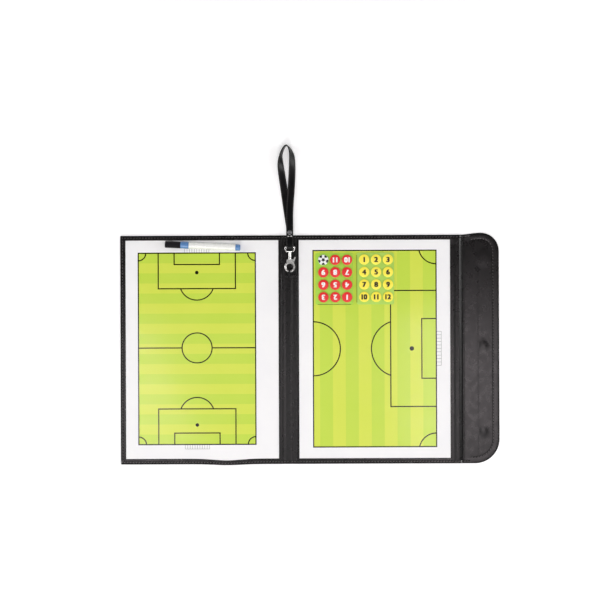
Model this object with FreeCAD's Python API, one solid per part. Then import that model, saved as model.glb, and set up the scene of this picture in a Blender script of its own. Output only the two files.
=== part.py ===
import FreeCAD, Part
import math
import os

# A folding football tactics board, lying open on its back, in millimetres.
# The origin is under the middle of the open board, X runs along its width, Y up the page and Z up.

Vector = FreeCAD.Vector
X_AXIS = Vector(1, 0, 0)
Y_AXIS = Vector(0, 1, 0)
Z_AXIS = Vector(0, 0, 1)

# Folder, from left to right
board_height = 320.0
left_panel_width = 227.0
spine_width = 21.0
right_panel_width = 230.0
gusset_width = 23.5
flap_width = 28.5
panel_corner_radius = 1.4
flap_top_radius = 25.5
flap_low_radius = 34.0
fold_gap = 0.3

# Layers of the panels and of the soft leather between them
cover_thickness = 0.8
lining_thickness = 0.7
stiffener_thickness = 1.0
steel_thickness = 0.3
print_thickness = 0.3
border_thickness = 0.6
edge_wrap = 0.8
layer_clearance = 0.2

# Leather borders round the two printed boards
top_border = 6.8
low_border = 7.8
left_outer_border = 7.5
left_fold_border = 5.5
right_fold_border = 1.8
right_flap_border = 16.4

# Magnets hidden in the flap
magnet_radius = 5.5
magnet_thickness = 0.8
magnet_clearance = 0.2
magnet_pitch_share = 0.375
magnet_middle_share = 0.0155
magnet_from_bend = 6.6
bump_wall = 0.4
magnet_steps = (-1, 0, 1)

# Swivel clasp lying on the spine
hook_from_top = 44.3
hook_ring_radius = 6.2
hook_wire_radius = 1.6
hook_tip_angle = 335.0
hook_joint_angle = 255.0
yoke_left = 4.6
yoke_right = 6.0
yoke_below = 3.4
yoke_above = 10.5
yoke_thickness = 4.4
yoke_corner = 1.2
barrel_radius = 2.0
barrel_length = 9.5
post_radius = 1.1
post_clearance = 0.15
post_head_radius = 1.6
post_head_length = 1.6
head_clearance = 0.2
swivel_gap = 0.5
eye_wire_radius = 1.1
eye_half_width = 6.3
eye_side = 2.4
eye_corner_radius = 3.6

# Sprung gate of the clasp
gate_pivot_angle = 52.0
gate_foot_angle = -80.0
gate_half_width = 1.3
gate_thickness = 2.2
gate_side_clearance = 0.15
gate_reach = 9.0
gate_seat_gap = 0.3
gate_hub_radius = 1.7
hub_clearance = 0.25
lever_length = 8.6
lever_width = 2.0
lever_angle = 67.6
pin_radius = 0.7
pin_proud = 0.2
pin_clearance = 0.1
spring_wire_radius = 0.3
spring_gap = 0.15
spring_turn = 300.0

# Leather tab that ties the hook to the spine
tab_width = 3.4
tab_offset = -0.9
tab_slack = 0.8
tab_fold_shift = 0.6
tab_loop_length = 4.6
tab_sewn_length = 4.6
tab_base_width = 14.0

# Wrist strap, one leather band folded round the eye and riveted
strap_width = 10.0
strap_thickness = 1.6
strap_seat_gap = 0.9
strap_fold_clearance = 0.1
strap_fold_leg = 3.5
strap_ply_gap = 0.1
strap_flat_half = 6.6
rivet_from_edge = 3.7
rivet_head_radius = 3.4
rivet_head_height = 1.0
rivet_shank_radius = 1.0
rivet_clearance = 0.05
rivet_crown_share = 0.6
small_rivet_drop = 5.2
small_rivet_spread = 1.9
small_rivet_head_radius = 1.1
small_rivet_head_height = 0.6
small_rivet_shank_radius = 0.5

# Marker pen, lengths along its axis from the eraser end
eraser_length = 22.0
eraser_radius = 4.7
eraser_rounding = 0.6
cap_length = 11.0
cap_radius = 4.8
cap_stem_length = 9.8
cap_stem_radius = 3.0
cap_floor = 0.4
barrel_body_length = 65.4
barrel_body_radius = 4.5
neck_length = 7.0
neck_radius = 3.4
nose_length = 3.5
nose_tip_radius = 1.4
pen_bore_radius = 3.2
pen_bore_start = 3.0
nib_radius = 0.9
nib_out = 3.0
nib_room = 1.5
nib_room_radius = 1.6
reservoir_end_room = 5.0
reservoir_radius = 3.0
plug_length = 6.7
plug_radius = 4.4
plug_insert = 7.5
pen_fit = 0.1
pen_from_left = 63.3
pen_from_top = 12.1
pen_tilt = -2.8
pen_rest_gap = 0.1

# Token sheets and the magnetic tokens on them
sheet_width = 52.5
sheet_height = 72.5
sheet_thickness = 1.0
sheet_corner_radius = 3.0
red_sheet_from_fold = 25.3
red_sheet_from_top = 25.0
yellow_sheet_from_fold = 82.55
yellow_sheet_from_top = 24.7
token_radius = 7.25
token_thickness = 2.0
token_rounding = 0.4
token_column_pitch = 16.6
token_row_pitch = 17.4
token_offset_x = 1.2
token_offset_y = 0.4
token_columns = 3
token_rows = 4

overrun = 2.0

# Places and levels worked out from the sizes above
board_width = left_panel_width + spine_width + right_panel_width + gusset_width + flap_width
half_height = board_height / 2
left_edge_x = -board_width / 2
left_fold_x = left_edge_x + left_panel_width
right_fold_x = left_fold_x + spine_width
flap_fold_x = right_fold_x + right_panel_width
flap_bend_x = flap_fold_x + gusset_width
right_edge_x = flap_bend_x + flap_width
half_gap = fold_gap / 2

steel_z = cover_thickness + stiffener_thickness
print_z = steel_z + steel_thickness
board_z = print_z + print_thickness
fold_z = cover_thickness + lining_thickness

clasp_x = left_fold_x + spine_width / 2
strap_fold_inner = eye_wire_radius + strap_fold_clearance
strap_fold_outer = strap_fold_inner + strap_thickness
clasp_z = fold_z + strap_seat_gap + strap_fold_outer
hook_y = half_height - hook_from_top
hook_centre = Vector(clasp_x, hook_y, clasp_z)
yoke_top_y = hook_y + yoke_above
barrel_top_y = yoke_top_y + barrel_length
eye_foot_y = barrel_top_y + swivel_gap + eye_wire_radius
eye_bar_y = eye_foot_y + eye_corner_radius + eye_side
pivot = hook_centre + Vector(
    hook_ring_radius * math.cos(math.radians(gate_pivot_angle)),
    hook_ring_radius * math.sin(math.radians(gate_pivot_angle)),
    0,
)
slot_half = gate_thickness / 2 + gate_side_clearance

# The strap's two plies where they are riveted together
strap_start_y = eye_bar_y + strap_fold_leg
strap_layer = strap_fold_inner + strap_thickness / 2
strap_ply = (strap_thickness + strap_ply_gap) / 2
rivet_y = half_height + rivet_from_edge
strap_low_z = clasp_z - strap_ply - strap_thickness / 2
strap_high_z = clasp_z + strap_ply + strap_thickness / 2

# The free loop of the strap, hand-laid: X and Y from the rivet, height, and the lean of the width in degrees
strap_loop_points = [
    (-0.2, 23.9, 4.0, 0),
    (0.6, 40.7, 3.0, 0),
    (2.2, 60.3, 2.9, 4),
    (3.2, 77.1, 2.1, 10),
    (3.8, 93.9, 3.2, 25),
    (3.6, 105.8, 4.4, 40),
    (1.5, 114.6, 5.2, 66),
    (-1.5, 120.3, 5.4, 82),
    (-4.2, 122.3, 5.4, 90),
    (-7.0, 120.2, 5.4, 98),
    (-10.4, 113.9, 5.4, 105),
    (-12.6, 106.2, 5.3, 113),
    (-13.0, 98.0, 4.2, 140),
    (-11.5, 84.5, 2.6, 162),
    (-8.9, 68.3, 1.5, 173),
    (-5.9, 46.3, 0.9, 180),
    (-3.3, 28.1, 1.1, 180),
    (-1.4, 15.8, 2.6, 180),
]


def block(x_from, x_to, y_from, y_to, z_from, z_to):
    """A box between two corners."""
    size = (x_to - x_from, y_to - y_from, z_to - z_from)
    return Part.makeBox(*size, Vector(x_from, y_from, z_from))


def upright_edges(solid, x):
    """The vertical edges of a box at one X."""
    upright = [edge for edge in solid.Edges if abs(edge.tangentAt(edge.FirstParameter).z) > 0.9]
    return [edge for edge in upright if math.isclose(edge.CenterOfMass.x, x, abs_tol=half_gap)]


def sheet(x_from, x_to, y_half, z_from, thickness, left_radius=0.0, right_radius=0.0):
    """A level sheet, even about the X axis, with its left or right corners rounded."""
    solid = block(x_from, x_to, -y_half, y_half, z_from, z_from + thickness)
    if left_radius > 0:
        solid = solid.makeFillet(left_radius, upright_edges(solid, x_from))
    if right_radius > 0:
        solid = solid.makeFillet(right_radius, upright_edges(solid, x_to))
    return solid


def round_bar(start, end, radius):
    """A cylinder between two points."""
    along = end - start
    return Part.makeCylinder(radius, along.Length, start, along)


def upright_disc(centre, radius, z_from, z_to):
    """A cylinder along Z."""
    return Part.makeCylinder(radius, z_to - z_from, Vector(centre.x, centre.y, z_from))


def ring_arc(centre, profile, start_angle, end_angle):
    """A profile face, drawn beyond the centre on +X, swept about the vertical through the centre."""
    swept = profile.revolve(centre, Z_AXIS, end_angle - start_angle)
    swept.rotate(centre, Z_AXIS, start_angle)
    return swept


def wire_profile(centre, ring_radius, wire_radius):
    """The round section of a ring of wire."""
    circle = Part.makeCircle(wire_radius, centre + Vector(ring_radius, 0, 0), Y_AXIS)
    return Part.Face(Part.Wire(circle))


def flat_profile(centre, inner_radius, outer_radius, thickness):
    """The oblong section of a flat ring."""
    low = centre - Vector(0, 0, thickness / 2)
    inner = Vector(inner_radius, 0, 0)
    outer = Vector(outer_radius, 0, 0)
    rise = Vector(0, 0, thickness)
    corners = [low + inner, low + outer, low + outer + rise, low + inner + rise]
    return Part.Face(Part.makePolygon(corners + corners[:1]))


def turned(points):
    """A solid of revolution about the X axis through points of distance along it and radius."""
    corners = [Vector(along, 0, radius) for along, radius in points]
    face = Part.Face(Part.makePolygon(corners + corners[:1]))
    return face.revolve(Vector(), X_AXIS, 360)


def panel_cover(x_from, x_to, left_radius):
    """The outer leather of a panel, turned up round its edges like a tray."""
    outer = sheet(x_from, x_to, half_height, 0, board_z, left_radius)
    pocket_radius = max(left_radius - edge_wrap, 0)
    depth = board_z - cover_thickness + overrun
    pocket_half = half_height - edge_wrap
    pocket = sheet(x_from + edge_wrap, x_to - edge_wrap, pocket_half, cover_thickness, depth, pocket_radius)
    return outer.cut(pocket)


def panel_layer(x_from, x_to, left_radius, z_from, thickness):
    """A stiff sheet lying in the cover's tray."""
    inset = edge_wrap + layer_clearance
    radius = max(left_radius - inset, 0)
    return sheet(x_from + inset, x_to - inset, half_height - inset, z_from, thickness, radius)


def panel_border(x_from, x_to, left_radius, left_width, right_width):
    """Four mitred leather strips that frame the printed board."""
    low = low_border - half_height
    top = half_height - top_border
    outer = [(x_from, -half_height), (x_to, -half_height), (x_to, half_height), (x_from, half_height)]
    window_from = x_from + left_width
    window_to = x_to - right_width
    inner = [(window_from, low), (window_to, low), (window_to, top), (window_from, top)]
    outline = sheet(x_from, x_to, half_height, board_z, border_thickness, left_radius)
    strips = []
    for start in range(len(outer)):
        end = (start + 1) % len(outer)
        ring = [outer[start], outer[end], inner[end], inner[start], outer[start]]
        face = Part.Face(Part.makePolygon([Vector(x, y, board_z) for x, y in ring]))
        strips.append(face.extrude(Vector(0, 0, border_thickness)).common(outline))
    return Part.makeCompound([strip.Solids[0] for strip in strips])


def panel(side, x_from, x_to, left_radius, left_width, right_width):
    """The five nodes of one stiff panel."""
    return {
        side + "_cover": panel_cover(x_from, x_to, left_radius),
        side + "_stiffener": panel_layer(x_from, x_to, left_radius, cover_thickness, stiffener_thickness),
        side + "_steel_sheet": panel_layer(x_from, x_to, left_radius, steel_z, steel_thickness),
        side + "_pitch_board": panel_layer(x_from, x_to, left_radius, print_z, print_thickness),
        side + "_border": panel_border(x_from, x_to, left_radius, left_width, right_width),
    }


def soft_layer(x_from, x_to, z_from, thickness):
    """A level layer of soft leather, cut off at the flap's round corners."""
    z_to = z_from + thickness
    outline = block(left_edge_x, right_edge_x, -half_height, half_height, z_from, z_to)
    for radius, side in ((flap_top_radius, 1), (flap_low_radius, -1)):
        corner = [edge for edge in upright_edges(outline, right_edge_x) if side * edge.CenterOfMass.y > 0]
        outline = outline.makeFillet(radius, corner)
    return block(x_from, x_to, -half_height, half_height, z_from, z_to).common(outline)


def soft_strip(name, x_from, x_to):
    """Cover and lining of a soft part of the folder."""
    return {
        name + "_cover": soft_layer(x_from, x_to, 0, cover_thickness),
        name + "_lining": soft_layer(x_from, x_to, cover_thickness, lining_thickness),
    }


def magnet_centres():
    """Middles of the hidden magnets, on the inside of the flap's cover."""
    x = flap_bend_x + magnet_from_bend
    shares = [magnet_middle_share + step * magnet_pitch_share for step in magnet_steps]
    return [Vector(x, board_height * share, cover_thickness) for share in shares]


def flap():
    """The flap's cover, its lining with a bump over each magnet, and the magnets."""
    nodes = soft_strip("flap", flap_bend_x + half_gap, right_edge_x)
    lining = nodes["flap_lining"]
    pocket_radius = magnet_radius + magnet_clearance
    pocket_top = cover_thickness + magnet_thickness
    magnets = []
    for centre in magnet_centres():
        bump = upright_disc(centre, pocket_radius + bump_wall, cover_thickness, pocket_top + bump_wall)
        lining = lining.fuse(bump)
        lining = lining.cut(upright_disc(centre, pocket_radius, cover_thickness, pocket_top))
        magnets.append(upright_disc(centre, magnet_radius, cover_thickness, pocket_top))
    nodes["flap_lining"] = lining.removeSplitter()
    nodes["flap_magnets"] = Part.makeCompound(magnets)
    return nodes


def hook_tab():
    """A leather strip folded round the foot of the hook, and its wide base sewn down on the spine."""
    hole_radius = hook_wire_radius + tab_slack
    lower_z = clasp_z - hole_radius
    thickness = lower_z - fold_z
    fold_y = hook_y - hook_ring_radius + tab_fold_shift
    meet_y = fold_y - tab_loop_length
    slope = 2 * math.atan2(hole_radius, tab_loop_length)
    normal = Vector(0, -math.sin(slope), math.cos(slope))
    x = clasp_x + tab_offset - tab_width / 2
    fold_centre = Vector(x, fold_y, clasp_z)

    def loop(radius, tail):
        """The face inside a fold of this radius that ends in the points of a tail."""
        foot = fold_centre - Z_AXIS * radius
        front = fold_centre + Y_AXIS * radius
        leave = fold_centre + normal * radius
        corners = [leave] + tail + [foot]
        edges = [Part.makeLine(a, b) for a, b in zip(corners, corners[1:])]
        edges.append(Part.Arc(foot, front, leave).toShape())
        return Part.Face(Part.Wire(edges))

    meet = Vector(x, meet_y, lower_z)
    upper_z = lower_z + thickness
    bend_y = meet_y - thickness * math.tan(slope / 2)
    bend = Vector(x, bend_y, upper_z)
    end_y = meet_y - tab_sewn_length
    tail = [bend, Vector(x, end_y, upper_z), Vector(x, end_y, fold_z)]
    across = X_AXIS * tab_width
    strip = loop(hole_radius + thickness, tail).extrude(across)
    strip = strip.cut(loop(hole_radius, [meet]).extrude(across))
    base_half = tab_base_width / 2
    base = block(clasp_x - base_half, clasp_x + base_half, end_y, bend_y, fold_z, lower_z)
    return strip.fuse(base).removeSplitter()


def gate_circle(radius):
    """A tall cylinder about the gate's pivot."""
    half = hook_wire_radius + overrun
    return upright_disc(pivot, radius, clasp_z - half, clasp_z + half)


def hook_body():
    """The hook, its forked yoke and the barrel that the swivel post turns in."""
    profile = wire_profile(hook_centre, hook_ring_radius, hook_wire_radius)
    back = ring_arc(hook_centre, profile, 90.0, hook_joint_angle)
    tip = ring_arc(hook_centre, profile, hook_joint_angle, hook_tip_angle)
    tip = tip.cut(gate_circle(gate_reach + gate_seat_gap / 2))
    half = yoke_thickness / 2
    low_y = hook_y + yoke_below
    yoke = block(clasp_x - yoke_left, clasp_x + yoke_right, low_y, yoke_top_y, clasp_z - half, clasp_z + half)
    yoke = yoke.makeFillet(yoke_corner, upright_edges(yoke, clasp_x - yoke_left))
    yoke = yoke.makeFillet(yoke_corner, upright_edges(yoke, clasp_x + yoke_right))
    opening_radius = hook_ring_radius - hook_wire_radius
    yoke = yoke.cut(upright_disc(hook_centre, opening_radius, clasp_z - half, clasp_z + half))
    slot_x = pivot.x - gate_hub_radius - hub_clearance
    slot_end_x = clasp_x + yoke_right + overrun
    slot_end_y = yoke_top_y + overrun
    slot = block(slot_x, slot_end_x, hook_y, slot_end_y, clasp_z - slot_half, clasp_z + slot_half)
    yoke = yoke.cut([slot, upright_disc(pivot, pin_radius, clasp_z - half, clasp_z + half)])
    yoke_end = Vector(clasp_x, yoke_top_y, clasp_z)
    barrel_end = Vector(clasp_x, barrel_top_y, clasp_z)
    barrel = round_bar(yoke_end, barrel_end, barrel_radius)
    bore = round_bar(yoke_end, barrel_end, post_radius + post_clearance)
    chamber_start = yoke_end - Y_AXIS * (post_head_length + 2 * head_clearance)
    chamber = round_bar(chamber_start, yoke_end, post_head_radius + head_clearance)
    body = back.fuse([tip, yoke, barrel])
    return body.cut([chamber, bore]).removeSplitter()


def gate_lever():
    """The gate that closes the hook, with its hub and thumb lever in one piece."""
    half = gate_thickness / 2
    inner = hook_ring_radius - gate_half_width
    outer = hook_ring_radius + gate_half_width
    profile = flat_profile(hook_centre, inner, outer, gate_thickness)
    arm = ring_arc(hook_centre, profile, gate_foot_angle, gate_pivot_angle)
    arm = arm.common(gate_circle(gate_reach - gate_seat_gap / 2))
    hub = upright_disc(pivot, gate_hub_radius, clasp_z - half, clasp_z + half)
    lever = block(
        pivot.x,
        pivot.x + lever_length,
        pivot.y - lever_width / 2,
        pivot.y + lever_width / 2,
        clasp_z - half,
        clasp_z + half,
    )
    tip = upright_disc(pivot + X_AXIS * lever_length, lever_width / 2, clasp_z - half, clasp_z + half)
    lever = lever.fuse(tip)
    lever.rotate(pivot, Z_AXIS, lever_angle)
    hole = upright_disc(pivot, pin_radius + pin_clearance, clasp_z - half, clasp_z + half)
    spring_room = upright_disc(pivot, gate_hub_radius + hub_clearance, clasp_z, clasp_z + half)
    return arm.fuse([hub, lever]).cut([hole, spring_room]).removeSplitter()


def gate_pin():
    """The riveted pin through the yoke's cheeks."""
    half = yoke_thickness / 2 + pin_proud
    return upright_disc(pivot, pin_radius, clasp_z - half, clasp_z + half)


def gate_spring():
    """One open turn of spring wire round the pin, in the room above the hub."""
    ring_radius = pin_radius + spring_gap + spring_wire_radius
    centre = Vector(pivot.x, pivot.y, clasp_z + slot_half / 2)
    profile = wire_profile(centre, ring_radius, spring_wire_radius)
    return ring_arc(centre, profile, 0.0, spring_turn)


def swivel_eye():
    """The wire eye for the strap, with the headed post that turns in the hook's barrel."""
    level = Vector(clasp_x, 0, clasp_z)
    side = X_AXIS * eye_half_width
    top = level + Y_AXIS * eye_bar_y
    shoulder = level + Y_AXIS * (eye_bar_y - eye_side)
    foot = level + Y_AXIS * eye_foot_y
    corner_shift = X_AXIS * (eye_half_width - eye_corner_radius)
    bars = [
        round_bar(top - side, top + side, eye_wire_radius),
        round_bar(shoulder - side, top - side, eye_wire_radius),
        round_bar(shoulder + side, top + side, eye_wire_radius),
        round_bar(foot - corner_shift, foot + corner_shift, eye_wire_radius),
        Part.makeSphere(eye_wire_radius, top - side),
        Part.makeSphere(eye_wire_radius, top + side),
    ]
    for centre, start in ((shoulder - corner_shift, 180.0), (shoulder + corner_shift, 270.0)):
        profile = wire_profile(centre, eye_corner_radius, eye_wire_radius)
        bars.append(ring_arc(centre, profile, start, start + 90.0))
    head_top = level + Y_AXIS * (yoke_top_y - head_clearance)
    head_foot = head_top - Y_AXIS * post_head_length
    post = round_bar(head_foot, foot, post_radius)
    head = round_bar(head_foot, head_top, post_head_radius)
    return post.fuse([head] + bars).removeSplitter()


def strap_fold():
    """The turn of the strap round the bar of the eye."""
    half = strap_width / 2
    near = Vector(clasp_x - half, eye_bar_y, clasp_z)
    far = Vector(clasp_x + half, eye_bar_y, clasp_z)

    def tongue(radius):
        """A round-nosed bar of the fold's width."""
        legs = block(near.x, far.x, eye_bar_y, strap_start_y, clasp_z - radius, clasp_z + radius)
        return legs.fuse(round_bar(near, far, radius))

    return tongue(strap_fold_outer).cut(tongue(strap_fold_inner)).removeSplitter()


def strap_section(point, tangent, lean):
    """The band's oblong section, turned by its lean about the band's way."""
    inward = Z_AXIS.cross(tangent).normalize()
    upward = tangent.cross(inward)
    turn = math.radians(lean)
    wide = (inward * math.cos(turn) + upward * math.sin(turn)) * (strap_width / 2)
    thick = (upward * math.cos(turn) - inward * math.sin(turn)) * (strap_thickness / 2)
    corners = [point - wide - thick, point + wide - thick, point + wide + thick, point - wide + thick]
    return Part.makePolygon(corners + corners[:1])


def strap_route():
    """Points of the band's middle line with the lean of its width, from the eye round and back to it."""
    levels = [
        (strap_start_y, strap_layer),
        (rivet_y - strap_flat_half, strap_ply),
        (rivet_y + strap_flat_half, strap_ply),
    ]
    upper = [(Vector(clasp_x, y, clasp_z + rise), 0) for y, rise in levels]
    lower = [(Vector(clasp_x, y, clasp_z - rise), 180) for y, rise in levels[::-1]]
    free = [(Vector(clasp_x + x, rivet_y + y, z), lean) for x, y, z, lean in strap_loop_points]
    return upper + free + lower


def strap_loop():
    """The band of the wrist strap, flat where it is riveted and on edge at its far end."""
    route = strap_route()
    points = [point for point, lean in route]
    tangents = [(ahead - back).normalize() for back, ahead in zip(points, points[2:])]
    tangents = [Y_AXIS] + tangents + [-Y_AXIS]
    sections = [strap_section(point, tangent, lean) for (point, lean), tangent in zip(route, tangents)]
    band = Part.makeLoft(sections, True, True)
    places = [(clasp_x, rivet_y, rivet_shank_radius)]
    places += [(x, y, small_rivet_shank_radius) for x, y in small_rivet_places()]
    for x, y, radius in places:
        band = band.cut(upright_disc(Vector(x, y, 0), radius + rivet_clearance, 0, strap_high_z))
    return band


def rivet(x, y, head_radius, head_height, shank_radius):
    """A rivet through both layers of the strap, with a crowned head on either side."""
    crown = head_radius * rivet_crown_share
    outline = [
        (strap_low_z - head_height, 0),
        (strap_low_z - head_height, crown),
        (strap_low_z, head_radius),
        (strap_low_z, shank_radius),
        (strap_high_z, shank_radius),
        (strap_high_z, head_radius),
        (strap_high_z + head_height, crown),
        (strap_high_z + head_height, 0),
    ]
    corners = [Vector(x + radius, y, z) for z, radius in outline]
    face = Part.Face(Part.makePolygon(corners + corners[:1]))
    return face.revolve(Vector(x, y, 0), Z_AXIS, 360)


def small_rivet_places():
    """Middles of the two small rivets, side by side below the main one."""
    y = rivet_y - small_rivet_drop
    return [(clasp_x - small_rivet_spread, y), (clasp_x + small_rivet_spread, y)]


def strap_rivets():
    """The main rivet of the strap and the two small ones."""
    rivets = [rivet(clasp_x, rivet_y, rivet_head_radius, rivet_head_height, rivet_shank_radius)]
    for x, y in small_rivet_places():
        sizes = (small_rivet_head_radius, small_rivet_head_height, small_rivet_shank_radius)
        rivets.append(rivet(x, y, *sizes))
    return Part.makeCompound(rivets)


def pen():
    """The marker's pieces along its axis, then laid on the left board."""
    cap_start = eraser_length
    barrel_start = cap_start + cap_length
    barrel_end = barrel_start + barrel_body_length
    neck_start = barrel_start - neck_length
    nose_start = neck_start - nose_length
    nib_start = nose_start - nib_out
    stem_start = cap_start - cap_stem_length
    reservoir_start = barrel_start - pen_bore_start
    reservoir_end = barrel_end - plug_insert - reservoir_end_room
    cap_inner = neck_radius + pen_fit
    eraser = turned([
        (0, 0),
        (0, eraser_radius - eraser_rounding),
        (eraser_rounding, eraser_radius),
        (cap_start, eraser_radius),
        (cap_start, cap_stem_radius),
        (stem_start, cap_stem_radius),
        (stem_start, 0),
    ])
    cap = turned([
        (stem_start, 0),
        (stem_start, cap_stem_radius),
        (cap_start, cap_stem_radius),
        (cap_start, cap_radius),
        (barrel_start, cap_radius),
        (barrel_start, cap_inner),
        (cap_start + cap_floor, cap_inner),
        (cap_start + cap_floor, nib_room_radius),
        (nib_start - nib_room, nib_room_radius),
        (nib_start - nib_room, 0),
    ])
    barrel = turned([
        (nose_start, nib_radius),
        (nose_start, nose_tip_radius),
        (neck_start, neck_radius),
        (barrel_start + pen_fit, neck_radius),
        (barrel_start + pen_fit, barrel_body_radius),
        (barrel_end, barrel_body_radius),
        (barrel_end, pen_bore_radius),
        (reservoir_start, pen_bore_radius),
        (reservoir_start, nib_radius),
    ])
    nib = turned([
        (nib_start, 0),
        (nib_start, nib_radius),
        (reservoir_start, nib_radius),
        (reservoir_start, 0),
    ])
    reservoir = turned([
        (reservoir_start, 0),
        (reservoir_start, reservoir_radius),
        (reservoir_end, reservoir_radius),
        (reservoir_end, 0),
    ])
    plug_end = barrel_end + plug_length
    plug = turned([
        (barrel_end - plug_insert, 0),
        (barrel_end - plug_insert, pen_bore_radius),
        (barrel_end, pen_bore_radius),
        (barrel_end, plug_radius),
        (plug_end, plug_radius),
        (plug_end, 0),
    ])
    axis_z = board_z + pen_rest_gap + cap_radius
    place = FreeCAD.Placement(
        Vector(left_edge_x + pen_from_left, half_height - pen_from_top, axis_z),
        FreeCAD.Rotation(Z_AXIS, pen_tilt),
    )
    pieces = {
        "pen_eraser": eraser,
        "pen_cap": cap,
        "pen_barrel": barrel,
        "pen_nib": nib,
        "pen_reservoir": reservoir,
        "pen_end_plug": plug,
    }
    return {name: piece.transformed(place.toMatrix()) for name, piece in pieces.items()}


def token_sheet(x, y):
    """A thin carrier sheet with rounded corners, lying on the right board."""
    half_width = sheet_width / 2
    corner = sheet_corner_radius
    flat = sheet(x - half_width, x + half_width, sheet_height / 2, board_z, sheet_thickness, corner, corner)
    return flat.translated(Vector(0, y, 0))


def token(x, y):
    """A magnetic disc lying on its carrier sheet."""
    low_z = board_z + sheet_thickness
    disc = upright_disc(Vector(x, y, 0), token_radius, low_z, low_z + token_thickness)
    top_edge = max(disc.Edges, key=lambda edge: edge.CenterOfMass.z)
    return disc.makeChamfer(token_rounding, [top_edge])


def token_places(sheet_x, sheet_y):
    """Middles of the tokens on a sheet, row by row from the top left."""
    places = []
    for row in range(token_rows):
        for column in range(token_columns):
            across = column - (token_columns - 1) / 2
            down = row - (token_rows - 1) / 2
            x = sheet_x + token_offset_x + across * token_column_pitch
            y = sheet_y + token_offset_y - down * token_row_pitch
            places.append((x, y))
    return places


def tokens():
    """Both sheets with their tokens. The red sheet lies upside down, so its numbers run backwards."""
    red_sheet_x = right_fold_x + red_sheet_from_fold + sheet_width / 2
    red_sheet_y = half_height - red_sheet_from_top - sheet_height / 2
    yellow_sheet_x = right_fold_x + yellow_sheet_from_fold + sheet_width / 2
    yellow_sheet_y = half_height - yellow_sheet_from_top - sheet_height / 2
    nodes = {
        "token_sheet_red": token_sheet(red_sheet_x, red_sheet_y),
        "token_sheet_yellow": token_sheet(yellow_sheet_x, yellow_sheet_y),
    }
    red_places = token_places(red_sheet_x, red_sheet_y)[::-1]
    yellow_places = token_places(yellow_sheet_x, yellow_sheet_y)
    ball_number = len(red_places)
    for number, (x, y) in enumerate(red_places, 1):
        name = "token_ball" if number == ball_number else f"token_red_{number:02d}"
        nodes[name] = token(x, y)
    for number, (x, y) in enumerate(yellow_places, 1):
        nodes[f"token_yellow_{number:02d}"] = token(x, y)
    return nodes


nodes = {}
left_to_x = left_fold_x - half_gap
right_from_x = right_fold_x + half_gap
right_to_x = flap_fold_x - half_gap
nodes.update(panel("left", left_edge_x, left_to_x, panel_corner_radius, left_outer_border, left_fold_border))
nodes.update(panel("right", right_from_x, right_to_x, 0, right_fold_border, right_flap_border))
nodes.update(soft_strip("spine", left_fold_x + half_gap, right_fold_x - half_gap))
nodes.update(soft_strip("gusset", flap_fold_x + half_gap, flap_bend_x - half_gap))
nodes.update(flap())
nodes["hook_tab"] = hook_tab()
nodes["hook_body"] = hook_body()
nodes["gate_lever"] = gate_lever()
nodes["gate_pin"] = gate_pin()
nodes["gate_spring"] = gate_spring()
nodes["swivel_eye"] = swivel_eye()
nodes["strap_fold"] = strap_fold()
nodes["strap_loop"] = strap_loop()
nodes["strap_rivets"] = strap_rivets()
nodes.update(pen())
nodes.update(tokens())

os.makedirs("parts", exist_ok=True)
for name, shape in nodes.items():
    shape.exportStep(f"parts/{name}.step")
    print(name, len(shape.Solids), round(shape.Volume, 2), shape.isValid())
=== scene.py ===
import bmesh
import bpy
import math
from mathutils import Matrix, Vector, noise
from mathutils.geometry import delaunay_2d_cdt


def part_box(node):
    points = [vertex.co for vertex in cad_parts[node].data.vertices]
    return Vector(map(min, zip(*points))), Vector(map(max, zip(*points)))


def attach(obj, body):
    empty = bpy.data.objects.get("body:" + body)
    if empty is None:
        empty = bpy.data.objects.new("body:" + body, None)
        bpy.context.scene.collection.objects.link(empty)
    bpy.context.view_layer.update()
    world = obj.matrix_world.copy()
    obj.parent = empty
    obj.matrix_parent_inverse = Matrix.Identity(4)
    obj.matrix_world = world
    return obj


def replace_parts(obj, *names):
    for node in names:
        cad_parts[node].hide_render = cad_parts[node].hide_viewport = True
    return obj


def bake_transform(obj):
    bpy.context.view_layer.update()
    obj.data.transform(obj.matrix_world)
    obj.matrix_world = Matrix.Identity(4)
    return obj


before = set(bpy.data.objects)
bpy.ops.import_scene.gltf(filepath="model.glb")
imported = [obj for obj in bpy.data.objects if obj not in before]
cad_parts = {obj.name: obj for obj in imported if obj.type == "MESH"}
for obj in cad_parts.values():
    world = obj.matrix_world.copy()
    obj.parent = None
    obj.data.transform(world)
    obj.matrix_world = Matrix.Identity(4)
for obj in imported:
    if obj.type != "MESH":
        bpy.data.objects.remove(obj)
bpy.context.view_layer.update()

# Lengths are millimetres, apart from the floor's and the lamps', and MM turns them into metres
MM = 0.001
X_AXIS = Vector((1, 0, 0))
Z_AXIS = Vector((0, 0, 1))


def box_mm(node):
    """Lowest and highest corner of a CAD node in millimetres."""
    low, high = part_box(node)
    return low / MM, high / MM


# Strips of the folder from left to right, the folds between them and the heights of its layers
strips = [box_mm(strip + "_cover") for strip in ("left", "spine", "right", "gusset", "flap")]
folds = [(before[1].x + after[0].x) / 2 for before, after in zip(strips, strips[1:])]
left_fold, right_fold, flap_fold, flap_bend = folds
left_edge = strips[0][0].x
right_edge = strips[-1][1].x
half_height = strips[0][1].y
pocket_z = strips[1][1].z
soft_z = box_mm("spine_lining")[1].z
board_z = box_mm("left_pitch_board")[1].z
border_z = box_mm("left_border")[1].z

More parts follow.
